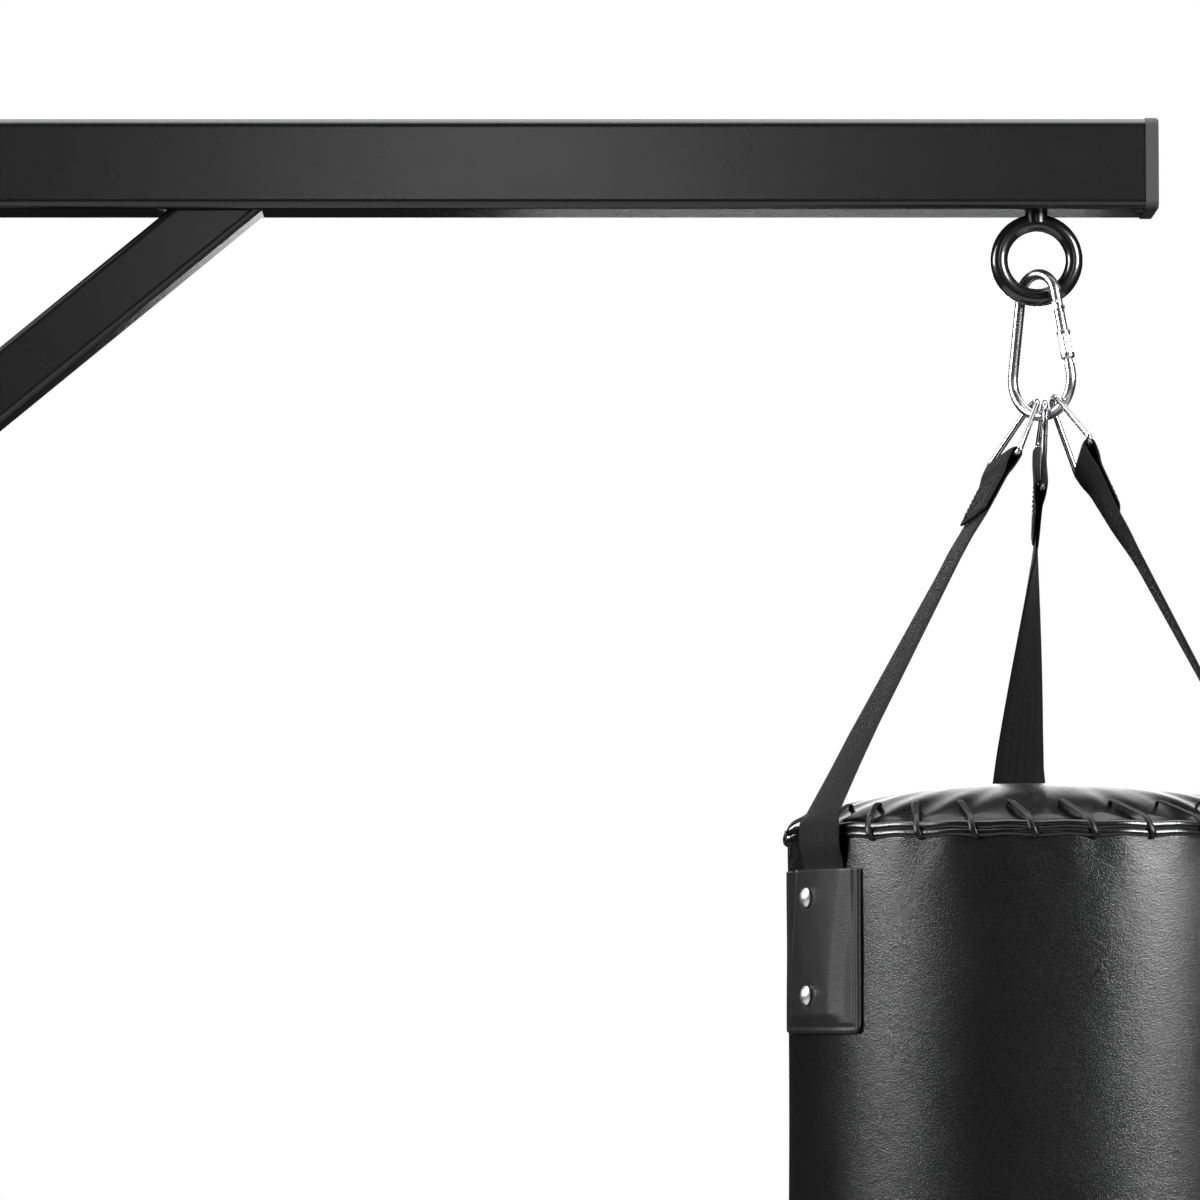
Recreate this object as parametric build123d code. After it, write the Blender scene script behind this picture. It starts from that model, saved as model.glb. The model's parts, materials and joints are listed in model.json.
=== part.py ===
from build123d import *
import os
from math import asin, atan2, cos, degrees, radians, sin, sqrt

# Free-standing frame with a heavy punching bag on three webbing straps.
# Millimetres. +Z up, +X from the post towards the bag, -Y is the front.
# Origin: middle of the footprint, on the floor.

# ---- frame ----
TUBE = 60.0
TUBE_WALL = 3.0
TUBE_CORNER = 6.0
BRACE = 40.0
BRACE_WALL = 2.5
BRACE_CORNER = 5.0
FOOT_HEIGHT = 10.0
BASE_TOP = FOOT_HEIGHT + TUBE
BASE_MID = FOOT_HEIGHT + TUBE / 2
CROSSBAR_X = 720.0
REAR_BAR_LENGTH = 1190.0
FRONT_BAR_LENGTH = 1000.0
CAP_FLANGE = 5.0
CAP_PLUG = 18.0
PLUG_GAP = 0.4
END_PLATE = 8.0
END_PLATE_WIDTH = 170.0
RUNNER_HALF = CROSSBAR_X - TUBE / 2 - END_PLATE
POST_X = -640.0
POST_TOP = 2206.0
ARM_TOP = 2210.0
ARM_MID = ARM_TOP - TUBE / 2
ARM_BOTTOM = ARM_TOP - TUBE
ARM_CAP_FLANGE = 8.7
ARM_CAP_OVERHANG = 0.8
MOUNT_PLATE = 8.0
MOUNT_PLATE_WIDTH = 80.0
MOUNT_PLATE_BOTTOM = 1790.0
BACK_PLATE = 6.0
PLATE_FACE_X = POST_X + TUBE / 2 + MOUNT_PLATE
MOUNT_BOLT_Z = (1895.0, 1965.0, 2040.0, 2110.0)
UPPER_BRACE_REACH = 380.0
UPPER_BRACE_DROP = 313.0

# ---- hanging ring ----
RING_X = 327.0
RING_Z = 2118.4
RING_WIRE = 11.8
RING_OUTER = 62.0
RING_MEAN = (RING_OUTER - RING_WIRE) / 2
ARM_TIP_X = RING_X + 71.0
WELD_WIDTH = 15.0

# ---- carabiner (pear shaped, in a vertical plane turned about Z) ----
HOOK_TURN = 42.0
ROD = 7.0
TOP_ARC = 14.75
BOTTOM_ARC = 24.7
HOOK_HEIGHT = 95.0
HOOK_BASE_Z = 2013.9
HOOK_LEAN = 2.3  # the carabiner hangs this many degrees off plumb, about the ring's axis
PIVOT_DROP = 23.7
GATE_LENGTH = 35.3
GATE_END_GAP = 0.9
NECK_DIAMETER = 5.6
NECK_LENGTH = 3.2
TONGUE = 3.0
SLOT = 3.4
PIN_DIAMETER = 2.5
PIN_FIT = 0.04
PIN_HEAD = 4.2
BORE = 3.4
BORE_DEPTH = 26.0
PLUNGER_LENGTH = 5.0
SPRING_WIRE = 0.5
SPRING_PITCH = 1.5
SLEEVE_OUTER = 9.5
SLEEVE_BORE = 7.7
SLEEVE_LENGTH = 18.9
KNURLS = 18

# ---- bag ----
BAG_RADIUS = 171.3
LEATHER = 3.0
BAG_BOTTOM = 534.0
HEM_Z = 1735.0
DOME_RISE = 35.0
TOP_EDGE_EASE = 2.0
LINER = 20.0
LINER_TOP = 1714.0
STITCHES = 28
LACE_DIAMETER = 3.2
LACE_HOLE = 6.6
LACE_UPPER_RADIUS = 130.0
LACE_LOWER_Z = 1727.5
LACE_SLANT = 7.2
WEBBING_WIDTH = 50.0
WEBBING = 2.5
RING_BAR_DROP = 40.0
RING_BAR_WIDTH = 62.0
RING_ROD = 4.0
RING_APEX_SHARP = 22.4
RING_APEX_RADIUS = 11.0
RING_CORNER = 3.0
LOOP_GAP = 0.3
LOOP_LENGTH = 62.0
PATCH_TOP = 1709.0
PATCH_BOTTOM = 1602.0
PATCH_WIDTH = 106.0
RIVET_Z = (1627.0, 1691.0)
RIVET_HEAD = 12.7
RIVET_DOME = 3.2
RIVET_SHANK = 5.0
BURR = 14.0
BURR_THICK = 1.5

# name, azimuth about the bag (0 = front), place along the carabiner's lower arc,
# bar direction, then (fraction of the free length, direction of the webbing's width)
STRAPS = (
    ("left", -65.5, -12.5, 103.0, ((0.0, 102.0), (0.3, 99.5), (0.85, 109.0), (1.0, 114.0))),
    ("rear", 183.4, 0.5, 91.0, ((0.0, 90.0), (0.2, 87.0), (0.85, 46.0), (1.0, 20.0))),
    ("right", 54.0, 13.0, 103.0, ((0.0, 103.0), (0.28, 91.0), (0.64, 87.0), (1.0, 58.0))),
)


STANDING = (Align.CENTER, Align.CENTER, Align.MIN)
HANGING = (Align.CENTER, Align.CENTER, Align.MAX)


def save(shape, node):
    shape.label = node
    export_step(shape, f"parts/{node}.step")


def group(solids):
    return Compound(children=list(solids))


def square_tube(size, wall, corner, length):
    """Hollow square tube along +Z from 0."""
    inner = size - 2 * wall
    profile = RectangleRounded(size, size, corner) - RectangleRounded(inner, inner, corner - wall + 0.5)
    return extrude(profile, length)


def along_x(shape):
    """Turn a shape made along +Z so that it runs along +X."""
    return Rot(0, 90, 0) * shape


def along_y(shape):
    """Turn a shape made along +Z so that it runs along +Y."""
    return Rot(-90, 0, 0) * shape


def rod_x(x0, x1, y, z, diameter):
    return Pos(x0, y, z) * along_x(Cylinder(diameter / 2, x1 - x0, align=STANDING))


def rod_y(y0, y1, x, z, diameter):
    return Pos(x, y0, z) * along_y(Cylinder(diameter / 2, y1 - y0, align=STANDING))


def rod_z(z0, z1, x, y, diameter):
    return Pos(x, y, z0) * Cylinder(diameter / 2, z1 - z0, align=STANDING)


def block(x0, x1, y0, y1, z0, z1):
    return Pos((x0 + x1) / 2, (y0 + y1) / 2, (z0 + z1) / 2) * Box(x1 - x0, y1 - y0, z1 - z0)


def end_cap(size, wall, corner, flange, overhang=0.0):
    """Plastic tube plug: flange from 0 to +flange, plug below 0."""
    plate = extrude(RectangleRounded(size + 2 * overhang, size + 2 * overhang, corner), flange)
    plate = chamfer(plate.faces().sort_by(Axis.Z)[-1].edges(), 1.2)
    inner = size - 2 * wall - 2 * PLUG_GAP
    cup = RectangleRounded(inner, inner, corner - wall) - RectangleRounded(inner - 5, inner - 5, 1.0)
    return plate + extrude(cup, -CAP_PLUG)


class Fastener:
    """Hexagon bolt set: head at the origin's face, shank along -Z."""

    def __init__(self, size, across_flats, head, nut, washer, washer_thick):
        self.size = size
        self.flats = across_flats
        self.head = head
        self.nut_height = nut
        self.washer_size = washer
        self.washer_thick = washer_thick

    def hexagon(self, height):
        prism = extrude(RegularPolygon(self.flats / 2, 6, major_radius=False), height)
        dome = Cylinder(self.flats * 0.56, height, align=STANDING)
        return prism & chamfer(dome.edges().sort_by(Axis.Z)[-1], height * 0.18)

    def bolt(self, grip):
        tail = grip + 2 * self.washer_thick + self.nut_height + 4
        shank = Cylinder(self.size / 2, tail, align=HANGING)
        shank = chamfer(shank.edges().sort_by(Axis.Z)[0], self.size * 0.1)
        return Pos(0, 0, self.washer_thick) * (self.hexagon(self.head) + shank)

    def washer(self):
        ring = Circle(self.washer_size / 2) - Circle(self.size / 2 + 0.3)
        return extrude(ring, self.washer_thick)

    def nut(self):
        hole = Cylinder(self.size / 2 + 0.05, self.nut_height, align=STANDING)
        return self.hexagon(self.nut_height) - hole


M12 = Fastener(12.0, 19.0, 7.5, 10.8, 24.0, 2.5)
M10 = Fastener(10.0, 17.0, 6.4, 8.4, 20.0, 2.0)
M8 = Fastener(8.0, 13.0, 5.3, 6.8, 16.0, 1.6)


def fasten(kind, places, grip):
    """Bolts, washers and nuts. Each place puts the head's face at the origin, shank along -Z."""
    bolts = [place * kind.bolt(grip) for place in places]
    washers = []
    nuts = []
    for place in places:
        washers.append(place * kind.washer())
        washers.append(place * Pos(0, 0, -grip - kind.washer_thick) * kind.washer())
        nuts.append(place * Pos(0, 0, -grip - kind.washer_thick - kind.nut_height) * kind.nut())
    return bolts, washers, nuts


os.makedirs("parts", exist_ok=True)

# ================= base =================
crossbar_bolt_y = (-62.0, 62.0)
foot_hole = 12.0
peg_y = 450.0
peg_diameter = 25.0
spigot_diameter = 20.0
peg_length = 200.0
flange_diameter = 58.0
flange_height = 6.0
ends = (("rear", -1, REAR_BAR_LENGTH, 520.0), ("front", 1, FRONT_BAR_LENGTH, 430.0))
feet = []
cross_caps = []
cross_places = []
end_plates = []
for name, side, length, foot_y in ends:
    x = side * CROSSBAR_X
    bar = Pos(x, -length / 2, BASE_MID) * along_y(square_tube(TUBE, TUBE_WALL, TUBE_CORNER, length))
    for y in crossbar_bolt_y:
        bar -= rod_x(x - TUBE / 2 - 1, x + TUBE / 2 + 1, y, BASE_MID, M10.size + 1)
        cross_places.append(Pos(x + side * TUBE / 2, y, BASE_MID) * Rot(0, side * 90, 0))
    for y in (-foot_y, foot_y):
        bar -= rod_z(FOOT_HEIGHT - 1, FOOT_HEIGHT + TUBE_WALL + 1, x, y, foot_hole)
        pad = Pos(x, y, 0) * extrude(RectangleRounded(52, 84, 8), FOOT_HEIGHT)
        pad = chamfer(pad.faces().sort_by(Axis.Z)[0].edges(), 2.0)
        feet.append(pad + rod_z(FOOT_HEIGHT, FOOT_HEIGHT + 6, x, y, foot_hole - 0.4))
    save(bar, f"{name}_crossbar")
    cap = end_cap(TUBE, TUBE_WALL, TUBE_CORNER, CAP_FLANGE)
    cross_caps.append(Pos(x, length / 2, BASE_MID) * Rot(-90, 0, 0) * cap)
    cross_caps.append(Pos(x, -length / 2, BASE_MID) * Rot(90, 0, 0) * cap)
    inner = side * (CROSSBAR_X - TUBE / 2)
    outer = side * RUNNER_HALF
    plate = block(min(inner, outer), max(inner, outer), -END_PLATE_WIDTH / 2, END_PLATE_WIDTH / 2, FOOT_HEIGHT, BASE_TOP)
    plate = fillet(plate.edges().filter_by(Axis.X), 6.0)
    for y in crossbar_bolt_y:
        plate -= rod_x(min(inner, outer) - 1, max(inner, outer) + 1, y, BASE_MID, M10.size + 1)
    end_plates.append(plate)
save(group(feet), "rubber_feet")
save(group(cross_caps), "crossbar_end_caps")
save(group(end_plates), "runner_end_plates")
bolts, washers, nuts = fasten(M10, cross_places, TUBE + END_PLATE)
save(group(bolts), "crossbar_bolts")
save(group(washers), "crossbar_washers")
save(group(nuts), "crossbar_nuts")

pegs = (("left", -1), ("right", 1))
flanges = []
for name, side in pegs:
    pin = rod_z(BASE_TOP + flange_height, BASE_TOP + flange_height + peg_length, -CROSSBAR_X, side * peg_y, peg_diameter)
    pin = chamfer(pin.edges().sort_by(Axis.Z)[-1], 2.0)
    spigot = rod_z(BASE_TOP, BASE_TOP + flange_height, -CROSSBAR_X, side * peg_y, spigot_diameter)
    save(pin + spigot, f"plate_peg_{name}")
    flange = rod_z(BASE_TOP, BASE_TOP + flange_height, -CROSSBAR_X, side * peg_y, flange_diameter)
    flange -= rod_z(BASE_TOP, BASE_TOP + flange_height, -CROSSBAR_X, side * peg_y, spigot_diameter)
    flanges.append(flange)
save(group(flanges), "peg_flanges")

# runner, post and side gussets
gusset = 6.0
gusset_bolts = ((-655.0, BASE_MID), (-545.0, BASE_MID), (POST_X, 108.0), (POST_X, 160.0))
brace_foot_x = -250.0
brace_plate = 6.0
brace_plate_length = 130.0
brace_bolt_offset = 51.0
brace_head_z = BASE_TOP + brace_plate + (brace_foot_x - (POST_X + TUBE / 2 + brace_plate))
insert_body = 11.0
insert_length = 14.0
insert_flange = 13.0
insert_flange_thick = 1.2
runner = Pos(-RUNNER_HALF, 0, BASE_MID) * along_x(square_tube(TUBE, TUBE_WALL, TUBE_CORNER, 2 * RUNNER_HALF))
post = Pos(POST_X, 0, BASE_TOP) * square_tube(TUBE, TUBE_WALL, TUBE_CORNER, POST_TOP - BASE_TOP)
profile = Polyline(
    (-681, 16), (-500, 16), (-500, 62), (-606, 185), (-674, 185), (-681, 178), close=True
)
half_width = TUBE / 2
plates = []
for y in (-half_width, half_width + gusset):
    plates.append(Plane.XZ.offset(-y) * extrude(make_face(profile), gusset))
gusset_places = []
for x, z in gusset_bolts:
    hole = rod_y(-half_width - gusset - 1, half_width + gusset + 1, x, z, M10.size + 1)
    runner -= hole
    post -= hole
    plates = [plate - hole for plate in plates]
    gusset_places.append(Pos(x, -half_width - gusset, z) * Rot(90, 0, 0))
save(group(plates), "foot_gussets")
bolts, washers, nuts = fasten(M10, gusset_places, TUBE + 2 * gusset)
save(group(bolts), "gusset_bolts")
save(group(washers), "gusset_washers")
save(group(nuts), "gusset_nuts")

# lower brace, on two end plates with short bolts into threaded inserts
brace_top_x = POST_X + TUBE / 2
foot_place = Pos(brace_foot_x, 0, BASE_TOP)
head_place = Pos(brace_top_x, 0, brace_head_z) * Rot(0, 90, 0)
brace_plates = []
short_bolts = []
short_washers = []
inserts = []
for place in (foot_place, head_place):
    plate = extrude(RectangleRounded(brace_plate_length, TUBE - 4, 6), brace_plate)
    for x in (-brace_bolt_offset, brace_bolt_offset):
        plate -= rod_z(-1, brace_plate + 1, x, 0, M8.size + 1)
        plate -= rod_z(-1, insert_flange_thick + 0.2, x, 0, insert_flange + 1)
        spot = place * Pos(x, 0, brace_plate)
        head = M8.hexagon(M8.head)
        shank = rod_z(-brace_plate - insert_length - 3, 0, 0, 0, M8.size)
        short_bolts.append(spot * Pos(0, 0, M8.washer_thick) * (head + shank))
        short_washers.append(spot * M8.washer())
        insert = rod_z(-insert_length, 0, x, 0, insert_body) + rod_z(0, insert_flange_thick, x, 0, insert_flange)
        insert -= rod_z(-insert_length - 1, 2, x, 0, M8.size + 0.1)
        inserts.append(place * insert)
        hole = place * rod_z(-TUBE_WALL - 2, 1, x, 0, insert_body + 0.1)
        runner -= hole
        post -= hole
    brace_plates.append(place * plate)
save(group(brace_plates), "lower_brace_plates")
save(group(short_bolts), "lower_brace_bolts")
save(group(short_washers), "lower_brace_washers")
save(group(inserts), "threaded_inserts")
start = (brace_foot_x, BASE_TOP + brace_plate)
span = brace_foot_x - (brace_top_x + brace_plate)
extra = 45.0
tube = square_tube(BRACE, BRACE_WALL, BRACE_CORNER, span * sqrt(2) + 2 * extra)
lower = Pos(start[0], 0, start[1]) * Rot(0, -45, 0) * Pos(0, 0, -extra) * tube
lower -= block(-700, 0, -50, 50, 0, start[1])
lower -= block(-800, brace_top_x + brace_plate, -50, 50, 0, 700)
save(lower, "lower_brace")
save(runner, "base_runner")

# ================= mast head: plates, arm, upper brace =================
back_x = POST_X - TUBE / 2
plate = block(brace_top_x, PLATE_FACE_X, -MOUNT_PLATE_WIDTH / 2, MOUNT_PLATE_WIDTH / 2, MOUNT_PLATE_BOTTOM, ARM_TOP)
plate = fillet(plate.edges().filter_by(Axis.X), 5.0)
back = block(back_x - BACK_PLATE, back_x, -35, 35, MOUNT_BOLT_Z[0] - 35, MOUNT_BOLT_Z[-1] + 35)
back = fillet(back.edges().filter_by(Axis.X), 5.0)
places = []
for z in MOUNT_BOLT_Z:
    hole = rod_x(back_x - BACK_PLATE - 1, PLATE_FACE_X + 1, 0, z, M12.size + 1)
    plate -= hole
    back -= hole
    post -= hole
    places.append(Pos(PLATE_FACE_X, 0, z) * Rot(0, 90, 0))
save(post, "post")
save(plate, "arm_mount_plate")
save(back, "post_back_plate")
bolts, washers, nuts = fasten(M12, places, MOUNT_PLATE + TUBE + BACK_PLATE)
save(group(bolts), "mount_bolts")
save(group(washers), "mount_washers")
save(group(nuts), "mount_nuts")
top_cap = Pos(POST_X, 0, POST_TOP) * end_cap(TUBE, TUBE_WALL, TUBE_CORNER, CAP_FLANGE)
save(top_cap, "post_top_cap")

arm_length = ARM_TIP_X - PLATE_FACE_X
arm = Pos(PLATE_FACE_X, 0, ARM_MID) * along_x(square_tube(TUBE, TUBE_WALL, TUBE_CORNER, arm_length))
save(arm, "arm")
tip = end_cap(TUBE, TUBE_WALL, TUBE_CORNER, ARM_CAP_FLANGE, ARM_CAP_OVERHANG)
save(Pos(ARM_TIP_X, 0, ARM_MID) * Rot(0, 90, 0) * tip, "arm_end_cap")

slope = degrees(atan2(UPPER_BRACE_DROP, UPPER_BRACE_REACH))
length = sqrt(UPPER_BRACE_REACH**2 + UPPER_BRACE_DROP**2) + 2 * extra
tube = along_x(square_tube(BRACE, BRACE_WALL, BRACE_CORNER, length))
upper = Pos(PLATE_FACE_X, 0, ARM_BOTTOM - UPPER_BRACE_DROP) * Rot(0, -slope, 0) * Pos(-extra, 0, 0) * tube
upper -= block(-800, 200, -50, 50, ARM_BOTTOM, ARM_BOTTOM + 200)
upper -= block(-800, PLATE_FACE_X, -50, 50, 1600, 2300)
save(upper, "upper_brace")

# hanging ring, welded below the arm
ring = Pos(RING_X, 0, RING_Z) * Rot(90, 0, 0) * Torus(RING_MEAN, RING_WIRE / 2)
save(ring, "hanging_ring")
weld = rod_z(RING_Z + RING_MEAN, ARM_BOTTOM, RING_X, 0, WELD_WIDTH)
save(weld - ring, "ring_weld")

# ================= carabiner =================
def leaning(x, y, z):
    """A direction of the plumb carabiner turned by its lean about the ring's axis."""
    turn = radians(HOOK_LEAN)
    return Vector(x * cos(turn) - z * sin(turn), y, x * sin(turn) + z * cos(turn))


hook_low = Vector(RING_X, 0, RING_Z) + leaning(0, 0, HOOK_BASE_Z - RING_Z)
hook = Plane(
    origin=hook_low,
    x_dir=leaning(cos(radians(HOOK_TURN)), -sin(radians(HOOK_TURN)), 0),
    z_dir=leaning(-sin(radians(HOOK_TURN)), -cos(radians(HOOK_TURN)), 0),
)

top_centre = HOOK_HEIGHT - TOP_ARC
lean = asin((BOTTOM_ARC - TOP_ARC) / (top_centre - BOTTOM_ARC))
side_x = cos(lean)
side_y = sin(lean)
leg_top = (TOP_ARC * side_x, top_centre + TOP_ARC * side_y)
leg_end = (BOTTOM_ARC * side_x, BOTTOM_ARC + BOTTOM_ARC * side_y)
down = (side_y, -side_x)
pivot_along = (leg_top[1] - (HOOK_HEIGHT - PIVOT_DROP)) / side_x
pivot = (leg_top[0] + down[0] * pivot_along, leg_top[1] + down[1] * pivot_along)
nose = GATE_LENGTH + GATE_END_GAP
tongue_root = 4.2
tongue_end = 3.3


def on_leg(distance):
    """A point of the gate side's centreline, measured down from the pivot."""
    return (pivot[0] + down[0] * distance, pivot[1] + down[1] * distance)


# a frame on the gate: origin at the pivot, X down the leg, Y outwards, Z across the carabiner
leg = hook * Pos(pivot[0], pivot[1], 0) * Rot(0, 0, degrees(atan2(down[1], down[0])))
wire = Wire([
    Line(on_leg(-tongue_root), leg_top),
    ThreePointArc(leg_top, (0, HOOK_HEIGHT), (-leg_top[0], leg_top[1])),
    Line((-leg_top[0], leg_top[1]), (-leg_end[0], leg_end[1])),
    ThreePointArc((-leg_end[0], leg_end[1]), (0, 0), leg_end),
    Line(leg_end, on_leg(nose + NECK_LENGTH)),
])
start_plane = Plane(origin=(*on_leg(-tongue_root), 0), z_dir=(-down[0], -down[1], 0))
frame = sweep(start_plane * Circle(ROD / 2), path=wire)
body = hook * frame
tongue = Box(tongue_root + 1, ROD, TONGUE, align=(Align.MAX, Align.CENTER, Align.CENTER))
tongue &= along_x(Cylinder(ROD / 2, 4 * tongue_root))
tongue += Cylinder(tongue_end, TONGUE)
pin_hole = Cylinder(PIN_DIAMETER / 2 + PIN_FIT, 2 * ROD)
neck = Pos(nose, 0, 0) * along_x(Cylinder(NECK_DIAMETER / 2, NECK_LENGTH + 1, align=STANDING))
body = body + leg * (tongue - pin_hole) + leg * neck
save(body, "carabiner_body")

bar = Pos(-ROD / 2, 0, 0) * along_x(Cylinder(ROD / 2, GATE_LENGTH + ROD / 2, align=STANDING))
rounded = Box(GATE_LENGTH + 1, 2 * ROD, 2 * ROD, align=(Align.MIN, Align.CENTER, Align.CENTER))
bar &= rounded + Cylinder(ROD / 2, 2 * ROD)
bar -= Pos(-ROD, 0, 0) * Box(ROD + 4.5, 2 * ROD, SLOT, align=(Align.MIN, Align.CENTER, Align.CENTER))
bar -= along_x(Cylinder(BORE / 2, BORE_DEPTH, align=STANDING))
save(leg * (bar - pin_hole), "carabiner_gate")
pin_half = ROD / 2 + 0.15
pin = Cylinder(PIN_DIAMETER / 2, 2 * pin_half)
for side in (-1, 1):
    head = Pos(0, 0, side * (pin_half + 0.35)) * Cylinder(PIN_HEAD / 2, 0.7)
    pin += head
save(leg * pin, "gate_pin")
plunger_start = tongue_end + 0.35
plunger = Pos(plunger_start, 0, 0) * along_x(Cylinder(BORE / 2 - 0.2, PLUNGER_LENGTH, align=STANDING))
save(leg * plunger, "gate_plunger")
coil_start = plunger_start + PLUNGER_LENGTH + SPRING_WIRE / 2
coil_length = BORE_DEPTH - SPRING_WIRE / 2 - coil_start
coil_radius = BORE / 2 - 0.2 - SPRING_WIRE / 2
coil = Helix(SPRING_PITCH, coil_length, coil_radius)
section = Plane(origin=coil @ 0, z_dir=coil % 0) * Circle(SPRING_WIRE / 2)
spring = sweep(section, path=coil, is_frenet=True)
save(leg * Pos(coil_start, 0, 0) * along_x(spring), "gate_spring")
sleeve = Cylinder(SLEEVE_OUTER / 2, SLEEVE_LENGTH, align=HANGING)
sleeve = chamfer(sleeve.edges().filter_by(GeomType.CIRCLE), 0.6)
groove = 0.9
for i in range(KNURLS):
    turn = Rot(0, 0, i * 360 / KNURLS)
    sleeve -= turn * Pos(SLEEVE_OUTER / 2 + 0.15, 0, -SLEEVE_LENGTH / 2) * Cylinder(groove / 2, SLEEVE_LENGTH - 6)
sleeve -= Cylinder(SLEEVE_BORE / 2, 3 * SLEEVE_LENGTH)
save(leg * Pos(GATE_LENGTH, 0, 0) * along_x(sleeve), "lock_sleeve")

# ================= bag: triangle rings and straps =================
BAG_X = hook_low.X
AXIS = Vector(BAG_X, 0, 0)
UP = Vector(0, 0, 1)
BOW_POINTS = (-1.0, -0.5, 0.0, 0.5, 1.0)


def radial(azimuth):
    return Vector(sin(radians(azimuth)), -cos(radians(azimuth)), 0)


def tangent(azimuth):
    return Vector(cos(radians(azimuth)), sin(radians(azimuth)), 0)


def width_at(fraction, twist):
    """Direction of the webbing's width, in degrees about Z from +X."""
    for (f0, a0), (f1, a1) in zip(twist, twist[1:]):
        if fraction <= f1:
            return a0 + (a1 - a0) * (fraction - f0) / (f1 - f0)
    return twist[-1][1]


def across(angle, direction):
    """The unit vector at an angle about Z, made square to a direction."""
    flat = Vector(cos(radians(angle)), sin(radians(angle)), 0)
    return (flat - direction * flat.dot(direction)).normalized()


def strip_section(centre, width_dir, thick_dir, thick, sag):
    """Cross-section of the webbing, bowed outwards by sag in its middle."""
    inner = []
    outer = []
    for share in BOW_POINTS:
        point = centre + width_dir * (share * WEBBING_WIDTH / 2) - thick_dir * (sag * share**2)
        inner.append(point - thick_dir * (thick / 2))
        outer.append(point + thick_dir * (thick / 2))
    return Wire.make_polygon(inner + outer[::-1], close=True)


def curved_block(radius, thick, half_angle, azimuth, z0, z1):
    """A piece of the bag's wall: an annular sector about the bag's axis."""
    ring_profile = Circle(radius + thick) - Circle(radius)
    reach = 2 * BAG_RADIUS
    left = (-reach * sin(radians(half_angle)), -reach * cos(radians(half_angle)))
    right = (-left[0], left[1])
    wedge = make_face(Polyline((0, 0), left, right, close=True))
    sector = ring_profile & wedge
    return Pos(BAG_X, 0, z0) * Rot(0, 0, azimuth) * extrude(sector, z1 - z0)


hook_across = Vector(cos(radians(HOOK_TURN)), -sin(radians(HOOK_TURN)), 0)
rim_radius = BAG_RADIUS + LACE_DIAMETER + 2.6
rim_z = HEM_Z + 6
lay = BAG_RADIUS + 0.05
chord_gap = 0.15
wall_sag = BAG_RADIUS * (1 - cos(WEBBING_WIDTH / 2 / BAG_RADIUS))
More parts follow.
